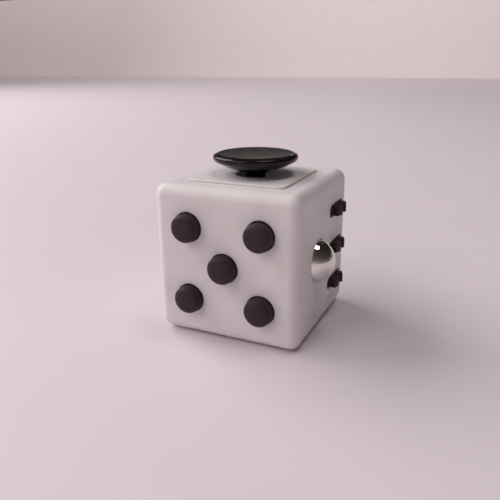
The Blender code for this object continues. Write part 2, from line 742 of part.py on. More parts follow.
def make_glide_cap():
    """The glossy disc and the stem under it."""
    top = [(0, 4.95), (8.35, 5.05), (9.1, 4.85), (9.45, 4.15)]
    underside = [(9.2, 3.6), (7.0, 2.4), (4.0, 1.3), (STEM_R, STAND_PROUD + 0.2)]
    stem = [(STEM_R, SLIDER_TOP + 0.05), (SPIGOT_R, SLIDER_TOP + 0.05), (SPIGOT_R, -2.75), (0, -2.75)]
    cap = turned_part("glide_cap", top + underside + stem, GLOSS_BLACK, FACE["top"], steps=32)
    cut(cap, tool(cylinder_mesh(0.75, 5.0, SCREW_ROUND), FACE["top"], (0, 0, -3.0)))


def make_glide_slider():
    """The flange that hangs under the plate. Two keys on it run front to back in the carriage."""
    points = [
        (0.8, SLIDER_TOP - 0.7),
        (SPIGOT_R + 0.15, SLIDER_TOP - 0.7),
        (SPIGOT_R + 0.15, SLIDER_TOP),
        (7.4, SLIDER_TOP),
        (7.4, SLIDER_BOTTOM),
        (POST_R, SLIDER_BOTTOM),
        (POST_R, POST_BOTTOM),
        (0.8, POST_BOTTOM),
    ]
    slider = turned_part("glide_slider", points, SOFT_BLACK, FACE["top"], closed=True)
    key_bottom = CARRIAGE_BOTTOM + 0.1
    height = SLIDER_BOTTOM - key_bottom + 0.3
    for side in (-1, 1):
        at = (side * KEY_AT, 0, key_bottom + height / 2)
        join(slider, tool(box_mesh((KEY_WIDTH, KEY_LENGTH, height)), FACE["top"], at))


def make_glide_carriage():
    """The ring between slider and frame. Its own keys run left to right in the frame's floor."""
    ring = [circle(7.8), circle(4.2, SMALL_ROUND)]
    mesh = slab_mesh(ring, CARRIAGE_BOTTOM, CARRIAGE_TOP)
    carriage = part("glide_carriage", mesh, GREY, FACE["top"])
    height = 1.3
    for side in (-1, 1):
        slot = box_mesh((SLOT_WIDTH, 2 * SLOT_HALF, 3.0))
        cut(carriage, tool(slot, FACE["top"], (side * KEY_AT, 0, CARRIAGE_TOP)))
        key = box_mesh((KEY_LENGTH, KEY_WIDTH, height))
        join(carriage, tool(key, FACE["top"], (0, side * KEY_AT, CARRIAGE_BOTTOM + 0.3 - height / 2)))


def make_glide_frame():
    """The tray that is screwed up against the plate, and grips the shell's ledge between them."""
    outer = rounded_rectangle(FRAME_HALF, FRAME_HALF, 1.0)
    cavity = rounded_rectangle(FRAME_CAVITY_HALF, FRAME_CAVITY_HALF, 0.6)
    walls = slab_mesh([outer, cavity], FRAME_FLOOR_BOTTOM, -WALL - FIT)
    frame = part("glide_frame", walls, GREY, FACE["top"])
    centre_hole = circle(4.85, SMALL_ROUND)
    floor = slab_mesh([outer, centre_hole], FRAME_FLOOR_BOTTOM, FRAME_FLOOR_TOP)
    join(frame, tool(floor, FACE["top"]))
    cup = [circle(7.9), circle(6.95)]
    join(frame, tool(slab_mesh(cup, FRAME_FLOOR_BOTTOM - 1.7, FRAME_FLOOR_BOTTOM + 0.3), FACE["top"]))
    post_height = -WALL - FIT - FRAME_FLOOR_BOTTOM - 0.3
    post_middle = -WALL - FIT - post_height / 2
    for x, y in FRAME_SCREWS:
        join(frame, tool(cylinder_mesh(1.15, post_height, SCREW_ROUND), FACE["top"], (x, y, post_middle)))
        cut(frame, tool(cylinder_mesh(0.75, 8.0, SCREW_ROUND), FACE["top"], (x, y, FRAME_FLOOR_TOP)))
    for side in (-1, 1):
        slot = box_mesh((2 * SLOT_HALF, SLOT_WIDTH, 1.5))
        middle = (FRAME_FLOOR_TOP + FRAME_FLOOR_BOTTOM) / 2
        cut(frame, tool(slot, FACE["top"], (0, side * KEY_AT, middle)))


def make_centring_diaphragm():
    """A corrugated silicone ring between the post and the frame's cup, which brings the disc back to the middle."""
    top = [(2.5, -5.55), (3.2, -5.55), (4.6, -6.05), (6.0, -5.55), (6.8, -5.55)]
    bottom = [(6.8, -6.35), (6.0, -6.35), (4.6, -6.5), (3.2, -6.35), (2.5, -6.35)]
    turned_part("centring_diaphragm", top + bottom, SILICONE, FACE["top"], closed=True)


def make_glide_face():
    make_glide_plate()
    make_glide_cap()
    make_glide_slider()
    make_glide_carriage()
    make_glide_frame()
    make_centring_diaphragm()
    make_screw("glide_stem_screw", FACE["top"], (0, 0, POST_BOTTOM - FIT), 1.4, 0.8, 0.65, 5.2)
    for number, (x, y) in enumerate(FRAME_SCREWS, 1):
        at = (x, y, FRAME_FLOOR_BOTTOM - FIT)
        make_screw(f"glide_frame_screw_{number}", FACE["top"], at, 1.1, 0.65, 0.6, 4.6)


make_shell()
make_bottom_cover()
make_click_face()
make_roll_face()
make_flip_face()
make_spin_face()
make_glide_face()
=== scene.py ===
"""The looks of the fidget cube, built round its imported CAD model.

Pieces are drawn in millimetres, each in the space of the face it belongs to: X right, Y up and Z outwards
as one looks at that face, with the origin on the middle of the shell's surface. The CAD nodes' boxes and the
joints say where they go and how large they are. What those don't show, such as the inside of a slot, repeats
the CAD model's sizes.
"""

import json
import math

import bmesh
import bpy
from mathutils import Matrix, Vector


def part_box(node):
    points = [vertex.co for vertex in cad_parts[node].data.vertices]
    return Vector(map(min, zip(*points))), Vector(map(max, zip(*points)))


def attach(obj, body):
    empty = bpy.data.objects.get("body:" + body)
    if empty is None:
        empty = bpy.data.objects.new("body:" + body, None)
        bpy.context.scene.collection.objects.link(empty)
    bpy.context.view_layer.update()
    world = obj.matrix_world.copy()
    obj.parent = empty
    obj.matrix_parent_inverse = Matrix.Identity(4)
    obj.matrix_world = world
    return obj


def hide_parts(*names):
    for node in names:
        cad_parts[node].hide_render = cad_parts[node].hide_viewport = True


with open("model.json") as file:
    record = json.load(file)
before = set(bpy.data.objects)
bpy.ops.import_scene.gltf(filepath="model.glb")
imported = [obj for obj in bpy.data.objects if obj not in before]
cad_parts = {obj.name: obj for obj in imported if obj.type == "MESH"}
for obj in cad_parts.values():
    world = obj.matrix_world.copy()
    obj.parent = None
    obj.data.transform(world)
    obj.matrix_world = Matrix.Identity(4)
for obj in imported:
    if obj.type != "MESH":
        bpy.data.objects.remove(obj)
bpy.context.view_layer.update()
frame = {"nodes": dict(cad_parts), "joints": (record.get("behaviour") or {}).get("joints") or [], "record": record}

MM = 0.001
FINE = 96  # sides on the round pieces
SHARP = 32  # degrees between two faces, above which the edge between them is drawn sharp
LIP = 0.16  # rounding of the mouths of holes
FLARE = 0.004  # how far the mouths' cutters reach past a face
JOINTS = {joint["name"]: joint for joint in frame["joints"]}


# ---------------------------------------------------------------- the frame's sizes, in millimetres


def box_mm(node):
    low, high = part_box(node)
    return low / MM, high / MM


def centre_of(node):
    low, high = box_mm(node)
    return (low + high) / 2


def size_of(node):
    low, high = box_mm(node)
    return high - low


SHELL_LOW, SHELL_HIGH = box_mm("shell_body")
HALF = (SHELL_HIGH.x - SHELL_LOW.x) / 2
CENTRE = (SHELL_LOW + SHELL_HIGH) / 2
FACE_TURNS = {
    "front": (90, 0, 0),
    "right": (90, 0, 90),
    "back": (90, 0, 180),
    "left": (90, 0, 270),
    "top": (0, 0, 0),
    "bottom": (180, 0, 0),
}


def turn_matrix(turn):
    x, y, z = (math.radians(angle) for angle in turn)
    return Matrix.Rotation(z, 4, "Z") @ Matrix.Rotation(y, 4, "Y") @ Matrix.Rotation(x, 4, "X")


def face_matrix(name):
    """From a face's space to the row frame, both in millimetres."""
    turn = turn_matrix(FACE_TURNS[name])
    return Matrix.Translation(CENTRE + turn @ Vector((0, 0, HALF))) @ turn


FACES = {name: face_matrix(name) for name in FACE_TURNS}


def in_face(name, point):
    return FACES[name].inverted() @ Vector(point)


def face_extent(name, node):
    """A node's lowest and highest corner, in a face's space."""
    corners = [in_face(name, corner) for corner in box_mm(node)]
    return Vector(map(min, *corners)), Vector(map(max, *corners))


# ---------------------------------------------------------------- outlines


def arc(radius, start, end, steps, centre=(0.0, 0.0)):
    angles = [math.radians(start + (end - start) * i / steps) for i in range(steps + 1)]
    return [(centre[0] + radius * math.cos(a), centre[1] + radius * math.sin(a)) for a in angles]


def rounded_rectangle(half_x, half_y, radius):
    radius = max(radius, 0.01)
    points = []
    for start, sx, sy in ((0, 1, 1), (90, -1, 1), (180, -1, -1), (270, 1, -1)):
        points += arc(radius, start, start + 90, 8, (sx * (half_x - radius), sy * (half_y - radius)))
    return points


def rounded_corner(before, corner, after, radius, steps):
    """The corner of a path as an arc, or the corner itself where there is no radius."""
    corner = Vector(corner)
    to_before = (Vector(before) - corner).normalized()
    to_after = (Vector(after) - corner).normalized()
    angle = to_before.angle(to_after)
    if radius <= 0 or angle > math.radians(178):
        return [tuple(corner)]
    reach = radius / math.tan(angle / 2)
    centre = corner + (to_before + to_after).normalized() * radius / math.sin(angle / 2)
    first = corner + to_before * reach - centre
    last = corner + to_after * reach - centre
    sweep = math.atan2(first.cross(last), first.dot(last))
    turns = [Matrix.Rotation(sweep * i / steps, 2) for i in range(steps + 1)]
    return [tuple(centre + turn @ first) for turn in turns]


def path(corners, steps=5, closed=False):
    """(x, y) or (x, y, radius) corners as a list of points, with each given radius rounded."""
    places = [corner[:2] for corner in corners]
    radii = [corner[2] if len(corner) > 2 else 0 for corner in corners]
    points = []
    last = len(corners) - 1
    for i, (place, radius) in enumerate(zip(places, radii)):
        if not closed and i in (0, last):
            points.append(place)
            continue
        points += rounded_corner(places[i - 1], place, places[(i + 1) % (last + 1)], radius, steps)
    return points


# ---------------------------------------------------------------- meshes


def as_mesh(bm):
    bmesh.ops.recalc_face_normals(bm, faces=bm.faces)
    mesh = bpy.data.meshes.new("made")
    bm.to_mesh(mesh)
    bm.free()
    mesh.shade_smooth()
    mesh.set_sharp_from_angle(angle=math.radians(SHARP))
    return mesh


def lathe(profile, steps=FINE):
    """A (radius, height) profile turned round Z."""
    bm = bmesh.new()
    rings = []
    for radius, height in profile:
        if radius < 1e-6:
            rings.append([bm.verts.new((0, 0, height * MM))] * steps)
            continue
        angles = (i * math.tau / steps for i in range(steps))
        ring = [(radius * math.cos(a) * MM, radius * math.sin(a) * MM, height * MM) for a in angles]
        rings.append([bm.verts.new(place) for place in ring])
    for ring_a, ring_b in zip(rings, rings[1:]):
        for i in range(steps):
            j = (i + 1) % steps
            corners = dict.fromkeys((ring_a[i], ring_a[j], ring_b[j], ring_b[i]))
            if len(corners) > 2:
                bm.faces.new(corners)
    return as_mesh(bm)


def loft(sections):
    """A skin over (outline, height) sections with equally many points, closed at both ends."""
    bm = bmesh.new()
    rings = [[bm.verts.new((x * MM, y * MM, z * MM)) for x, y in outline] for outline, z in sections]
    for ring_a, ring_b in zip(rings, rings[1:]):
        for i in range(len(ring_a)):
            j = (i + 1) % len(ring_a)
            bm.faces.new((ring_a[i], ring_a[j], ring_b[j], ring_b[i]))
    bm.faces.new(rings[0])
    bm.faces.new(rings[-1])
    return as_mesh(bm)


def wall_rows(bottom, top, bottom_edge=0.0, top_edge=0.0):
    """An upright wall as (inset, height) rows. An edge is rounded off, or flares out if it is negative."""
    steps = 5
    rows = []
    for height, edge, side in ((bottom, bottom_edge, 1), (top, top_edge, -1)):
        radius = abs(edge)
        count = steps if radius else 0
        bend = []
        for i in range(count + 1):
            angle = math.pi / 2 * i / max(count, 1)
            inset = radius * (1 - math.sin(angle)) * math.copysign(1, edge)
            bend.append((inset, height + side * radius * (1 - math.cos(angle))))
        if side < 0:
            bend.reverse()
        if edge < 0:
            bend.append((bend[-1][0] - 0.001, height + 1.0))
        rows += bend
    return rows


def rounded_slab(half_x, half_y, corner, *heights_and_edges):
    """A rounded rectangle between two heights, with its edges as wall_rows has them."""
    sections = []
    for inset, height in wall_rows(*heights_and_edges):
        sections.append((rounded_rectangle(half_x - inset, half_y - inset, corner - inset), height))
    return loft(sections)


def prism(outline, bottom, top, edge):
    """Any outline between two heights, with its top and bottom edges rounded."""
    bm = bmesh.new()
    ring = [bm.verts.new((x * MM, y * MM, bottom * MM)) for x, y in outline]
    floor = bm.faces.new(ring)
    made = bmesh.ops.extrude_face_region(bm, geom=[floor], use_keep_orig=True)
    raised = [v for v in made["geom"] if isinstance(v, bmesh.types.BMVert)]
    bmesh.ops.translate(bm, verts=raised, vec=(0, 0, (top - bottom) * MM))
    level = [e for e in bm.edges if abs(e.verts[0].co.z - e.verts[1].co.z) < 1e-7]
    if edge:
        bmesh.ops.bevel(bm, geom=level, offset=edge * MM, segments=4, profile=0.5, affect="EDGES")
    return as_mesh(bm)


def hole_profile(radius, bottom, lip=LIP):
    """A drill with a flared shoulder, which leaves a hole with a rounded mouth at height 0."""
    top = 1.0
    steps = 5
    shoulder = []
    for i in range(steps + 1):
        angle = math.radians(82) * (1 - i / steps)
        shoulder.append((radius + lip * (1 - math.cos(angle)), -lip * (1 - math.sin(angle))))
    mouth = shoulder[0][0] + 0.1
    return [(0, top), (mouth, top), (mouth, 0.02), *shoulder, (radius, bottom), (0, bottom)]


def rounded_cube(size, radius, segments):
    bm = bmesh.new()
    bmesh.ops.create_cube(bm, size=size * MM)
    bmesh.ops.bevel(bm, geom=bm.edges, offset=radius * MM, segments=segments, profile=0.5, affect="EDGES")
    return as_mesh(bm)


def box_mesh(size):
    bm = bmesh.new()
    bmesh.ops.create_cube(bm, size=1, matrix=Matrix.Diagonal((*(Vector(size) * MM), 1)))
    return as_mesh(bm)


# ---------------------------------------------------------------- pieces


def mm_matrix(matrix):
    """The same placement, with its shift in metres."""
    moved = matrix.copy()
    moved.translation = matrix.translation * MM
    return moved


def axle_bore(radius, half, steps=48):
    return lathe([(0, half), (radius, half), (radius, -half), (0, -half)], steps)


def solid(mesh, matrix, name="tool"):
    obj = bpy.data.objects.new(name, mesh)
    bpy.context.scene.collection.objects.link(obj)
    obj.matrix_world = mm_matrix(matrix)
    return obj


def at(face, place=(0, 0, 0), turn=(0, 0, 0)):
    return FACES[face] @ Matrix.Translation(place) @ turn_matrix(turn)


def carve(obj, tools, operation="DIFFERENCE"):
    """Cuts the tools from the object, or joins them to it, and clears them away."""
    for tool in tools:
        boolean = obj.modifiers.new(tool.name, "BOOLEAN")
        boolean.operation = operation
        boolean.object = tool
    bpy.context.view_layer.update()
    evaluated = obj.evaluated_get(bpy.context.evaluated_depsgraph_get())
    mesh = bpy.data.meshes.new_from_object(evaluated)
    obj.modifiers.clear()
    obj.data = mesh
    for tool in tools:
        bpy.data.objects.remove(tool)
    return obj


def settle(obj):
    """Puts a tilted piece's turn into its mesh, which leaves its box square to the frame."""
    obj.data.transform(obj.matrix_world)
    obj.matrix_world = Matrix.Identity(4)
    return obj


def smooth(obj, sharp=SHARP):
    """Smooth shading that leaves the flats flat."""
    obj.data.shade_smooth()
    obj.data.set_sharp_from_angle(angle=math.radians(sharp))
    normals = obj.modifiers.new("Flat flats", "WEIGHTED_NORMAL")
    normals.keep_sharp = True
    return obj


def piece(obj, body, material, *nodes):
    """Gives a finished piece its look, the CAD body it moves with and the nodes it stands for."""
    obj.data.materials.clear()
    obj.data.materials.append(material)
    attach(obj, body)
    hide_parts(*nodes)
    return obj


NODE_SLOTS = {part["node"]: part["material_slot"] for part in frame["record"]["subparts"]}


# ---------------------------------------------------------------- materials


def new_material(name):
    material = bpy.data.materials.new(name)
    material.use_nodes = True
    return material, material.node_tree.nodes, material.node_tree.links


def noise(nodes, links, coordinates, feature_mm, detail=3.0, roughness=0.5):
    """Noise with features of about the given size."""
    texture = nodes.new("ShaderNodeTexNoise")
    texture.inputs["Scale"].default_value = 1 / (feature_mm * MM)
    texture.inputs["Detail"].default_value = detail
    texture.inputs["Roughness"].default_value = roughness
    links.new(coordinates.outputs["Object"], texture.inputs["Vector"])
    return texture


def fill_ramp(node, stops):
    """Gives a colour ramp its (position, colour) stops. A colour may be one number, for grey."""
    elements = node.color_ramp.elements
    while len(elements) < len(stops):
        elements.new(0.5)
    for element, (position, colour) in zip(elements, stops):
        element.position = position
        element.color = (*colour, 1) if isinstance(colour, tuple) else (colour, colour, colour, 1)


def ramp(nodes, links, source, stops):
    node = nodes.new("ShaderNodeValToRGB")
    fill_ramp(node, stops)
    links.new(source.outputs[0], node.inputs["Fac"])
    return node


def bump(nodes, links, height, distance_mm, strength, normal=None):
    node = nodes.new("ShaderNodeBump")
    node.inputs["Distance"].default_value = distance_mm * MM
    node.inputs["Strength"].default_value = strength
    links.new(height.outputs[0], node.inputs["Height"])
    if normal:
        links.new(normal.outputs["Normal"], node.inputs["Normal"])
    return node


def shade(colour, factor):
    return tuple(channel * factor for channel in colour)


def moulded_plastic(name, colour, roughness, grain_mm, grain_depth, spread=0.04, **sockets):
    """Plastic with a fine moulded grain, slow changes of tone, and handling marks in its gloss."""
    material, nodes, links = new_material(name)
    surface = nodes["Principled BSDF"]
    coordinates = nodes.new("ShaderNodeTexCoord")
    tone = noise(nodes, links, coordinates, 9.0, 2.0)
    tones = ramp(nodes, links, tone, ((0.3, shade(colour, 1 - spread)), (0.7, shade(colour, 1 + spread))))
    links.new(tones.outputs["Color"], surface.inputs["Base Color"])
    marks = noise(nodes, links, coordinates, 2.6, 5.0, 0.62)
    gloss = ramp(nodes, links, marks, ((0.35, roughness * 0.9), (0.75, min(roughness * 1.14, 1.0))))
    links.new(gloss.outputs["Color"], surface.inputs["Roughness"])
    grain = noise(nodes, links, coordinates, grain_mm, 2.0)
    waves = noise(nodes, links, coordinates, 6.0, 1.0)
    flow = bump(nodes, links, waves, 0.02, 0.25)
    relief = bump(nodes, links, grain, grain_depth, 0.5, flow)
    links.new(relief.outputs["Normal"], surface.inputs["Normal"])
    for socket, value in sockets.items():
        surface.inputs[socket.replace("_", " ")].default_value = value
    return material


def metal(name, colour, roughness, streak, grain_depth=0.0006):
    """Metal with faint smears in its polish. A streak above 1 draws them out into brush marks."""
    material, nodes, links = new_material(name)
    surface = nodes["Principled BSDF"]
    surface.inputs["Metallic"].default_value = 1.0
    coordinates = nodes.new("ShaderNodeTexCoord")
    stretch = nodes.new("ShaderNodeMapping")
    stretch.inputs["Scale"].default_value = (1, 1, streak)
    links.new(coordinates.outputs["Object"], stretch.inputs["Vector"])
    smears = nodes.new("ShaderNodeTexNoise")
    smears.inputs["Scale"].default_value = 1 / (2.2 * MM)
    smears.inputs["Detail"].default_value = 6
    links.new(stretch.outputs["Vector"], smears.inputs["Vector"])
    tones = ramp(nodes, links, smears, ((0.3, shade(colour, 0.97)), (0.7, colour)))
    links.new(tones.outputs["Color"], surface.inputs["Base Color"])
    gloss = ramp(nodes, links, smears, ((0.45, roughness), (0.8, roughness * 1.8)))
    links.new(gloss.outputs["Color"], surface.inputs["Roughness"])
    relief = bump(nodes, links, smears, grain_depth, 0.3)
    links.new(relief.outputs["Normal"], surface.inputs["Normal"])
    return material


def stage_material(name, colour, roughness):
    material, nodes, links = new_material(name)
    surface = nodes["Principled BSDF"]
    surface.inputs["Roughness"].default_value = roughness
    surface.inputs["Specular IOR Level"].default_value = 0.3
    coordinates = nodes.new("ShaderNodeTexCoord")
    mottle = noise(nodes, links, coordinates, 40.0, 3.0)
    tones = ramp(nodes, links, mottle, ((0.3, shade(colour, 0.985)), (0.7, colour)))
    links.new(tones.outputs["Color"], surface.inputs["Base Color"])
    return material


WHITE_COLOUR = (0.84, 0.785, 0.805)
FLOOR_COLOUR = (0.845, 0.77, 0.82)
WALL_COLOUR = (0.92, 0.86, 0.85)
BLACK_COLOUR = (0.037, 0.0215, 0.0265)

LOOKS = {
    "white_plastic": moulded_plastic(
        "white_satin",
        WHITE_COLOUR,
        0.46,
        0.16,
        0.004,
        Subsurface_Weight=0.06,
        Subsurface_Scale=0.002,
        Subsurface_Radius=(1.0, 0.9, 0.9),
        Specular_IOR_Level=0.35,
    ),
    "soft_black_plastic": moulded_plastic(
        "soft_black", BLACK_COLOUR, 0.5, 0.12, 0.006, 0.08, Specular_IOR_Level=0.25
    ),
    "gloss_black_plastic": moulded_plastic(
        "gloss_black", (0.011, 0.008, 0.009), 0.11, 0.4, 0.0002, 0.05, Specular_IOR_Level=0.3
    ),
    "chrome": metal("polished_chrome", (0.82, 0.79, 0.77), 0.05, 1.0, 0.0002),
    "steel": metal("bright_steel", (0.55, 0.54, 0.53), 0.26, 9.0),
    "grey_inner_plastic": moulded_plastic("inner_grey", (0.3, 0.31, 0.33), 0.5, 0.2, 0.006),
    "silicone": moulded_plastic("silicone", (0.46, 0.46, 0.44), 0.55, 0.25, 0.004, Subsurface_Weight=0.25),
}


def dress_inner_nodes():
    """The hidden works keep their CAD shapes and take the same looks."""
    for name, node in frame["nodes"].items():
        node.data.materials.clear()
        node.data.materials.append(LOOKS[NODE_SLOTS[name]])


# ---------------------------------------------------------------- shell and covers

BUTTONS = ("top_left", "top_right", "centre", "bottom_left", "bottom_right")
BUTTON_R = 3.0
CLICK_SCREWS = [f"click_screw_{i}" for i in range(1, 5)]
ROLL_SCREWS = [f"roll_screw_{i}" for i in range(1, 3)]
FRAME_SCREWS = [f"glide_frame_screw_{i}" for i in range(1, 5)]
COGS = ("top", "middle", "bottom")
WALL = 2.0
THROUGH = -3.0  # a depth that is clear of a wall's inside
EDGE_RADIUS = 2.4
BUTTON_GAP = 0.2
FLANGE_TOP = -2.15  # of the buttons, just inside the wall
AXLE = Vector(JOINTS["cog_spin_middle"]["pos_m"]) / MM
AXLE_R = 1.0
AXLE_GAP = 0.08  # round every pin, axle and shaft
PIN_R = 0.7
BALL = Vector(JOINTS["ball_roll"]["pos_m"]) / MM
PIVOT = Vector(JOINTS["flip"]["pos_m"]) / MM
BALL_R = size_of("roll_ball").z / 2
COG_R = 5.9
COG_THICK = 2.3
COG_SWEEP_R = COG_R + 0.28  # the space that a cog turns in
COG_SLOT_HALF = 1.4
COG_RIM_R = 0.9
COG_HUB_R = 1.7
DIAL_R = size_of("spin_dial").z / 2
DIAL_RECESS = 0.5
DIAL_SHAFT_R = 2.5
BEZEL_BODY = (4.8, 7.7)  # half the width and height of what goes through the wall
BEZEL_RIM = (5.9, 8.8)
BEZEL_WELL = (3.8, 6.8)
ROCKER_R = 6.5
ROCKER_TILT = 11
PLATE_HALF = size_of("glide_plate").x / 2
PLATE_CORNER = 1.6
PLATE_LEDGE = -1.2
PLATE_OPENING = 9.8
PLATE_HOLE_R = 4.4
STEM_R = 2.2
SPIGOT_R = 1.5
COVER_HALF = size_of("worry_cover").x / 2
COVER_CORNER = 1.4
COVER_LEDGE = -1.1
COVER_OPENING = 12.2
GAP = 0.15  # round what is set into the shell


def button_place(name):
    middle = in_face("front", centre_of(f"click_button_{name}"))
    return (middle.x, middle.y, 0)


def ball_seat():
    """The inside of the socket, round the ball's centre. It closes in towards its rounded mouth."""
    radius = BALL_R + 0.08
    face = -in_face("right", BALL).z
    mouth_angle = math.degrees(math.asin(face / radius))
    wall = arc(radius, 0, mouth_angle, 10)
    mouth = [wall[-2], (wall[-1][0], face + FLARE, LIP), (wall[-1][0] + 1, face + FLARE)]
    lip = path(mouth, 6)[1:-1]
    lip.append((lip[-1][0], face + 1))
    return [(0, -2), (radius, -2), *wall[:-1], *lip, (0, face + 1)]


def slot_outline(depth, grow):
    """A cog's slot at this depth: a cut through the round space it turns in, grown all round."""
    rim = arc(COG_RIM_R + grow, 0, 90, 8, (COG_SWEEP_R - COG_RIM_R, COG_SLOT_HALF - COG_RIM_R))
    quarter = [(math.sqrt(radius**2 - depth**2), y) for radius, y in rim]
    half = quarter + [(-x, y) for x, y in reversed(quarter)]
    return half + [(-x, -y) for x, y in half]


def outer_cutters():
    """The openings on the cube's faces, with rounded mouths."""
    tools = []
    for name in BUTTONS:
        hole = lathe(hole_profile(BUTTON_R + BUTTON_GAP, THROUGH))
        tools.append(solid(hole, at("front", button_place(name))))
    tools.append(solid(lathe(ball_seat()), at("right", in_face("right", BALL))))
    axle = in_face("right", AXLE)
    rim = [(COG_SWEEP_R, COG_SLOT_HALF, COG_RIM_R), (COG_SWEEP_R, -COG_SLOT_HALF, COG_RIM_R)]
    sweep = path([(0, COG_SLOT_HALF), *rim, (0, -COG_SLOT_HALF)], 8)
    mouth = [(slot_outline(-axle.z, -inset - 0.01), z) for inset, z in wall_rows(-0.6, FLARE, 0, -LIP)]
    for name in COGS:
        cog = in_face("right", centre_of(f"roll_cog_{name}"))
        tools.append(solid(lathe(sweep), at("right", (axle.x, cog.y, axle.z), (90, 0, 0))))
        tools.append(solid(loft(mouth), at("right", (axle.x, cog.y, 0))))
    return tools


def cover_cutters():
    tools = []
    for face, half, corner, ledge, opening in (
        ("top", PLATE_HALF, PLATE_CORNER, PLATE_LEDGE, PLATE_OPENING),
        ("bottom", COVER_HALF, COVER_CORNER, COVER_LEDGE, COVER_OPENING),
    ):
        pocket = rounded_slab(half + GAP, half + GAP, corner + GAP, ledge, FLARE, 0, -0.12)
        tools.append(solid(pocket, at(face)))
        tools.append(solid(rounded_slab(opening, opening, corner, THROUGH, 0.5), at(face)))
    bezel = rounded_slab(BEZEL_BODY[0] + GAP, BEZEL_BODY[1] + GAP, 0.5, THROUGH, 1.0)
    tools.append(solid(bezel, at("left")))
    recess = hole_profile(DIAL_R + 0.35, -DIAL_RECESS)
    tools.append(solid(lathe(recess), at("back")))
    tools.append(post("back", Vector((0, 0, 0)), DIAL_SHAFT_R + AXLE_GAP, THROUGH, 1.0, 1.5, FINE))
    return tools


def post(face, spot, radius, low, high, turn=0, steps=32):
    """An upright cylinder on a face's wall. A turned one cuts cleanly into another on the same centre."""
    mesh = lathe([(0, high), (radius, high), (radius, low), (0, low)], steps)
    return solid(mesh, at(face, (spot.x, spot.y, 0), (0, 0, turn)))


def shell_supports():
    """Inside the walls: screw bosses, and ribs that hold the cogs' axle."""
    supports = []
    holes = []
    for face, screws, support, radius, pilot_depth in (
        ("front", CLICK_SCREWS, face_extent("front", "click_bracket")[1].z, 1.7, 2.1),
        ("right", ROLL_SCREWS, face_extent("right", "ball_snap_dome")[0].z - 0.1, 1.5, 4.0),
    ):
        for screw in screws:
            spot = in_face(face, centre_of(screw))
            supports.append(post(face, spot, radius, support + 0.1, 0.5 - WALL))
            holes.append(post(face, spot, 0.8, support - 1.0, support + pilot_depth, 4))
    axle = in_face("right", AXLE)
    pitch = centre_of("roll_cog_top").z - AXLE.z
    for y in (-1.5 * pitch, -0.5 * pitch, 0.5 * pitch, 1.5 * pitch):
        rib = rounded_slab(1.7, 0.6, 0.2, -5.1, 0.5 - WALL, 0.2, 0)
        supports.append(solid(rib, at("right", (axle.x, y, 0))))
    bore_half = 1.5 * pitch + 1.2
    slot = rounded_slab(AXLE_R + AXLE_GAP, bore_half, 0.1, axle.z - 2.4, axle.z)
    holes.append(solid(slot, at("right", (axle.x, 0, 0))))
    bore = axle_bore(AXLE_R + AXLE_GAP, bore_half)
    holes.append(solid(bore, Matrix.Translation(AXLE)))
    return supports, holes


def make_shell():
    shell = solid(rounded_cube(2 * HALF, EDGE_RADIUS, 12), Matrix.Translation(CENTRE), "shell")
    inner = 2 * (HALF - WALL)
    cavity = solid(box_mesh((inner, inner, inner)), Matrix.Translation(CENTRE))
    supports, holes = shell_supports()
    carve(cavity, supports)
    carve(shell, [cavity, *outer_cutters(), *cover_cutters(), *holes])
    piece(smooth(shell), "case", LOOKS["white_plastic"], "shell_body")


def make_top_plate():
    low, high = face_extent("top", "glide_plate")
    mesh = rounded_slab(PLATE_HALF, PLATE_HALF, PLATE_CORNER, PLATE_LEDGE + 0.1, high.z, 0, 0.22)
    plate = solid(mesh, at("top"), "top_plate")
    boss_half = PLATE_OPENING - 0.2
    boss = solid(rounded_slab(boss_half, boss_half, PLATE_CORNER - 0.2, low.z, -0.5), at("top"))
    carve(plate, [boss], "UNION")
    hole = solid(lathe(hole_profile(PLATE_HOLE_R, THROUGH, 0.2)), at("top", (0, 0, high.z)))
    pilots = [post("top", in_face("top", centre_of(screw)), 0.7, -3.4, -0.6) for screw in FRAME_SCREWS]
    carve(plate, [hole, *pilots])
    piece(smooth(plate), "case", LOOKS["white_plastic"], "glide_plate")


def make_bottom_cover():
    """The cover with the thumb hollow, which runs out softly into the flat, and its four snap legs."""
    top = face_extent("bottom", "worry_cover")[1].z
    inner = COVER_LEDGE + 0.1
    mesh = rounded_slab(COVER_HALF, COVER_HALF, COVER_CORNER, inner, top, 0, 0.22)
    cover = solid(mesh, at("bottom"), "thumb_cover")
    depth = 2.4
    hollow_r = 10.0
    radius = (hollow_r**2 + depth**2) / (2 * depth)
    centre = top - depth + radius
    backing_r = radius + 2.0
    rim_angle = math.degrees(math.asin((centre - inner - 0.5) / backing_r))
    backing = [(r, centre + z) for r, z in arc(backing_r, -rim_angle, -90, 24)]
    backing[-1] = (0, backing[-1][1])
    added = [solid(lathe([(0, backing[0][1]), *backing]), at("bottom"))]
    leg_x = COVER_OPENING - 0.55
    barb = [(0.0, -0.35), (1.0, -0.35, 0.15), (0.45, 0.35, 0.1), (0.0, 0.35)]
    for turn in (0, 90, 180, 270):
        side = at("bottom", turn=(0, 0, turn))
        leg = rounded_slab(0.4, 2.5, 0.15, inner - 2.4, inner + 0.2, 0.15, 0)
        added.append(solid(leg, side @ Matrix.Translation((leg_x, 0, 0))))
        hook = side @ Matrix.Translation((leg_x, 0, -WALL - 0.5)) @ turn_matrix((-90, 0, 0))
        added.append(solid(prism(path(barb, 3, closed=True), -2.0, 2.0, 0), hook))
    carve(cover, added, "UNION")
    bowl = [(r, centre + z) for r, z in arc(radius, -66, -90, 40) if r < hollow_r - 0.4]
    bowl[-1] = (0, bowl[-1][1])
    outer_r = hollow_r + 0.9
    rim = [(outer_r, top + 1.0), (outer_r, top + 0.02), (hollow_r + 0.35, top - 0.03)]
    carve(cover, [solid(lathe([(0, top + 1.0), *rim, *bowl], 128), at("bottom"))])
    piece(smooth(cover), "case", LOOKS["white_plastic"], "worry_cover")


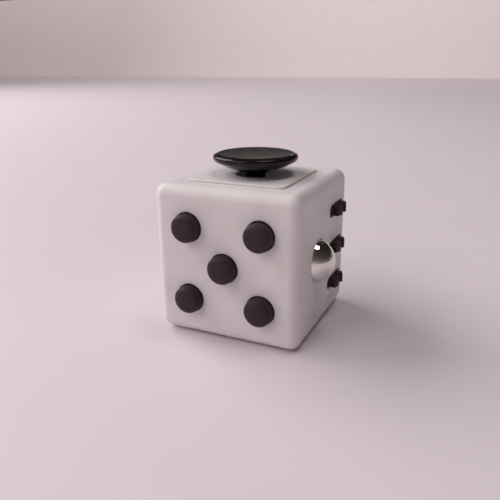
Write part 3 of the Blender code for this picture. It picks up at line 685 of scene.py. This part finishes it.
# ---------------------------------------------------------------- the faces' moving pieces


def make_buttons():
    low, high = face_extent("front", "click_button_centre")
    flange_r = size_of("click_button_centre").x / 2
    crown = [
        (0, high.z),
        (0.5 * BUTTON_R, high.z - 0.07, 6.0),
        (0.85 * BUTTON_R, high.z - 0.3, 1.2),
        (BUTTON_R, high.z - 0.85, 0.5),
        (BUTTON_R, FLANGE_TOP, 0.08),
        (flange_r, FLANGE_TOP, 0.1),
        (flange_r, FLANGE_TOP - 0.75, 0.1),
        (1.2, FLANGE_TOP - 0.75),
        (1.2, low.z),
        (0, low.z),
    ]
    profile = path(crown, 6)
    for name in BUTTONS:
        button = solid(lathe(profile), at("front", button_place(name)), f"push_button_{name}")
        piece(smooth(button), f"button_{name}", LOOKS["soft_black_plastic"], f"click_button_{name}")


def make_ball():
    profile = arc(BALL_R, 90, -90, 48)
    profile = [(0, BALL_R), *profile[1:-1], (0, -BALL_R)]
    ball = solid(lathe(profile), at("right", in_face("right", BALL)), "chrome_ball")
    piece(smooth(ball), "ball", LOOKS["chrome"], "roll_ball")


def polar(radius, angle):
    return (radius * math.cos(math.radians(angle)), radius * math.sin(math.radians(angle)))


def cog_outline():
    """Eight blunt teeth with rounded corners, and round gaps between them. One gap points straight out."""
    gap_r = 1.2
    corner_r = 0.35
    gap_at = COG_R - 0.2
    corner_at = COG_R - corner_r
    reach = gap_r + corner_r
    spread = math.degrees(math.acos((corner_at**2 + gap_at**2 - reach**2) / (2 * corner_at * gap_at)))
    across, along = polar(corner_at, spread)
    lean = math.degrees(math.atan2(along, gap_at - across))
    outline = []
    for turn in range(0, 360, 45):
        outline += arc(corner_r, turn - spread, turn + lean, 4, polar(corner_at, turn - spread))
        outline += arc(gap_r, turn + 180 + lean, turn + 180 - lean, 10, polar(gap_at, turn))[1:-1]
        outline += arc(corner_r, turn - lean, turn + spread, 4, polar(corner_at, turn + spread))
        outline += arc(COG_R, turn + spread, turn + 45 - spread, 6)[1:-1]
    return outline


def make_cogs():
    outline = cog_outline()
    half = COG_THICK / 2
    for name in COGS:
        middle = Vector((AXLE.x, AXLE.y, centre_of(f"roll_cog_{name}").z))
        place = Matrix.Translation(middle)
        cog = solid(prism(outline, -half, half, 0.25), place, f"cog_{name}")
        hub_half = size_of(f"roll_cog_{name}").z / 2
        ends = [(COG_HUB_R, hub_half, 0.1), (COG_HUB_R, -hub_half, 0.1)]
        rounded = [(0, hub_half), *ends, (0, -hub_half)]
        hub = solid(lathe(path(rounded), 48), place)
        carve(cog, [hub], "UNION")
        carve(cog, [solid(axle_bore(AXLE_R + AXLE_GAP, 4), place)])
        piece(smooth(cog, 40), f"cog_{name}", LOOKS["soft_black_plastic"], f"roll_cog_{name}")


def make_bezel():
    low, high = face_extent("left", "flip_bezel")
    rim = rounded_slab(*BEZEL_RIM, 2.2, 0.06, high.z, 0, 0.3)
    bezel = solid(rim, at("left"), "switch_bezel")
    body = solid(rounded_slab(*BEZEL_BODY, 0.6, low.z, 0.3), at("left"))
    barb_places = [(0, side * BEZEL_BODY[1], -2.6) for side in (-1, 1)]
    barbs = [solid(box_mesh((5.0, 0.9, 0.9)), at("left", place)) for place in barb_places]
    carve(bezel, [body, *barbs], "UNION")
    well = solid(rounded_slab(*BEZEL_WELL, 0.5, -6.5, high.z + FLARE, 0, -0.2), at("left"))
    pin_hole = solid(axle_bore(PIN_R + AXLE_GAP, 6), at("left", in_face("left", PIVOT), (0, 90, 0)))
    carve(bezel, [well, pin_hole])
    piece(smooth(bezel), "case", LOOKS["soft_black_plastic"], "flip_bezel")


def rocker_outline():
    """Seen along the pin: two shallow slopes that meet in a valley, round ends, and a tail."""
    valley = 3.2
    lip_at = 5.0
    rise = lip_at * math.tan(math.radians(ROCKER_TILT))
    lip_angle = math.degrees(math.atan2(valley + rise, lip_at))
    lip, *end = arc(ROCKER_R, lip_angle, -15, 14)
    side = [(*lip, 0.35), *end, (1.3, -2.2, 0.3), (0.35, -3.6, 0.25)]
    mirrored = [(-x, *rest) for x, *rest in reversed(side)]
    return path([(0, valley, 4.0), *side, *mirrored], 5, closed=True)


def make_rocker():
    pivot = in_face("left", PIVOT)
    place = at("left", pivot) @ turn_matrix((ROCKER_TILT, 0, 0)) @ turn_matrix((90, 0, 90))
    half = 3.6
    rocker = solid(prism(rocker_outline(), -half, half, 0.22), place, "rocker_switch")
    bore = solid(axle_bore(PIN_R + AXLE_GAP, 6), at("left", pivot, (0, 90, 0)))
    carve(rocker, [bore])
    piece(smooth(settle(rocker), 40), "rocker", LOOKS["soft_black_plastic"], "flip_rocker")


def make_dial():
    low, high = face_extent("back", "spin_dial")
    top = high.z
    corners = [
        (0, top),
        (DIAL_R - 0.75, top, 0.4),
        (DIAL_R, top - 0.7, 0.5),
        (DIAL_R, -DIAL_RECESS + 0.15, 0.1),
        (DIAL_SHAFT_R, -DIAL_RECESS + 0.15),
        (DIAL_SHAFT_R, low.z),
        (0, low.z),
    ]
    dial = solid(lathe(path(corners), 128), at("back"), "spinning_dial")
    radius = 4.0
    depth = 1.0
    dimple_r = math.sqrt(radius**2 - (radius - depth) ** 2)
    bowl = arc(radius, -48, -90, 20, (0, radius - depth))
    bowl = [(r, z) for r, z in bowl if r < dimple_r - 0.1] + [(0, -depth)]
    finger = [(0, 1.0), (dimple_r + 0.3, 1.0), (dimple_r + 0.3, 0.01), (dimple_r + 0.08, -0.02), *bowl]
    dimple = solid(lathe(finger), at("back", (5.2, 0, top)))
    bore = solid(lathe([(0, 2.0), (1.0, 2.0), (1.0, -2.0), (0, -2.0)], 32), at("back", (0, 0, low.z + 1.2)))
    carve(dial, [dimple, bore])
    piece(smooth(dial), "dial", LOOKS["soft_black_plastic"], "spin_dial")


def make_disc():
    low, high = face_extent("top", "glide_cap")
    rim = size_of("glide_cap").x / 2
    top = high.z
    corners = [
        (0, top - 0.1),
        (8.35, top, 0.9),
        (rim - 0.12, top - 0.35, 0.5),
        (rim, top - 0.95, 0.6),
        (rim - 0.25, top - 1.5, 0.6),
        (7.0, 2.4, 6.0),
        (4.0, 1.3, 2.5),
        (STEM_R, 0.6, 0.5),
        (STEM_R, -2.1),
        (SPIGOT_R, -2.1),
        (SPIGOT_R, low.z),
        (0.75, low.z),
        (0.75, -0.5),
        (0, -0.5),
    ]
    disc = solid(lathe(path(corners, 10), 128), at("top"), "gliding_disc")
    piece(smooth(disc), "disc", LOOKS["gloss_black_plastic"], "glide_cap")


# ---------------------------------------------------------------- table, light and camera


WALL_AT = 1.75  # metres behind the cube
WALL_HEIGHT = 0.3
CUBE_AT = (0, 0, 0.017)
LIGHTS = (
    ("window", (-1.0, 0.05, 0.75), CUBE_AT, (1.2, 0.9), 12.4),
    ("overhead", (0.3, 0.1, 1.3), CUBE_AT, (0.5, 0.5), 3.8),
    ("front_left", (-0.6, -1.0, 1.0), CUBE_AT, (0.8, 0.8), 5.0),
    ("back_left", (-0.42, 1.6, 0.5), CUBE_AT, (0.07, 0.07), 0.15),
    ("wall_wash", (-1.2, 1.2, 0.9), (-1.2, WALL_AT, 0.1), (3.2, 0.4), 6.3),
)


def plain_sheet(name, size, material, place=(0, 0, 0), turn=(0, 0, 0)):
    """A flat stage piece, in metres."""
    bm = bmesh.new()
    bmesh.ops.create_grid(bm, x_segments=1, y_segments=1, size=0.5, matrix=Matrix.Diagonal((*size, 1, 1)))
    sheet = bpy.data.objects.new(name, as_mesh(bm))
    bpy.context.scene.collection.objects.link(sheet)
    sheet.matrix_world = Matrix.Translation(place) @ turn_matrix(turn)
    sheet.data.materials.append(material)


def make_room():
    table = stage_material("pale_table", FLOOR_COLOUR, 0.55)
    wall = stage_material("pale_wall", WALL_COLOUR, 0.8)
    plain_sheet("table", (8.0, WALL_AT + 4.0), table, (0, WALL_AT / 2 - 2.0, 0))
    plain_sheet("wall", (8.0, WALL_HEIGHT), wall, (0, WALL_AT, WALL_HEIGHT / 2), (90, 0, 0))


def make_world():
    """A dim room, darker above, to the right and behind the cube."""
    world = bpy.data.worlds.new("studio")
    world.use_nodes = True
    bpy.context.scene.world = world
    nodes, links = world.node_tree.nodes, world.node_tree.links
    background = nodes["Background"]
    direction = nodes.new("ShaderNodeTexCoord")
    split = nodes.new("ShaderNodeSeparateXYZ")
    links.new(direction.outputs["Generated"], split.inputs["Vector"])
    room = nodes.new("ShaderNodeValToRGB")
    fill_ramp(room, ((0.0, (0.34, 0.29, 0.27)), (0.3, (0.11, 0.095, 0.085)), (0.75, (0.05, 0.04, 0.032))))
    links.new(split.outputs["Z"], room.inputs["Fac"])
    links.new(room.outputs["Color"], background.inputs["Color"])
    fades = []
    for axis, start, end in (("X", 1.9, 0.65), ("Y", 1.3, 0.08)):
        fade = nodes.new("ShaderNodeMapRange")
        fade.inputs["From Min"].default_value = -1.0
        fade.inputs["To Min"].default_value = start
        fade.inputs["To Max"].default_value = end
        links.new(split.outputs[axis], fade.inputs["Value"])
        fades.append(fade)
    strength = nodes.new("ShaderNodeMath")
    strength.operation = "MULTIPLY"
    links.new(fades[0].outputs["Result"], strength.inputs[0])
    links.new(fades[1].outputs["Result"], strength.inputs[1])
    links.new(strength.outputs["Value"], background.inputs["Strength"])


def soft_light(name, place, aim, size, power, colour):
    """An area light, in metres and watts."""
    data = bpy.data.lights.new(name, "AREA")
    data.shape = "RECTANGLE"
    data.size, data.size_y = size
    data.energy = power
    data.color = colour
    light = bpy.data.objects.new(name, data)
    bpy.context.scene.collection.objects.link(light)
    light.location = place
    light.rotation_euler = (Vector(aim) - Vector(place)).to_track_quat("-Z", "Y").to_euler()


def make_lights():
    for name, place, aim, size, power in LIGHTS:
        soft_light(name, place, aim, size, power, (1.0, 0.95, 0.95))


def make_camera():
    """The photograph's viewpoint: how far round, above and away it is, its lens and its slight tilt."""
    azimuth, elevation, roll = (math.radians(a) for a in (24.85, 19.16, -0.43))
    distance = 127.6
    shift = (1.39, 0.835)
    level = math.cos(elevation)
    back = Vector((math.sin(azimuth) * level, -math.cos(azimuth) * level, math.sin(elevation)))
    level_right = (-back).cross(Vector((0, 0, 1))).normalized()
    level_up = level_right.cross(-back)
    right = level_right * math.cos(roll) + level_up * math.sin(roll)
    up = level_up * math.cos(roll) - level_right * math.sin(roll)
    target = Vector((CENTRE.x, CENTRE.y, CENTRE.z - 0.26))
    place = target + back * distance - right * shift[0] - up * shift[1]
    data = bpy.data.cameras.new("camera")
    data.sensor_width = 36
    data.lens = 39.42
    data.clip_start = 0.005
    camera = bpy.data.objects.new("camera", data)
    bpy.context.scene.collection.objects.link(camera)
    turn = Matrix((right, up, back)).transposed().to_4x4()
    camera.matrix_world = Matrix.Translation(place * MM) @ turn
    bpy.context.scene.camera = camera


bpy.context.scene.view_settings.view_transform = "Standard"
dress_inner_nodes()
make_shell()
make_top_plate()
make_bottom_cover()
make_buttons()
make_ball()
make_cogs()
make_bezel()
make_rocker()
make_dial()
make_disc()
make_room()
make_world()
make_lights()
make_camera()

bpy.context.view_layer.update()
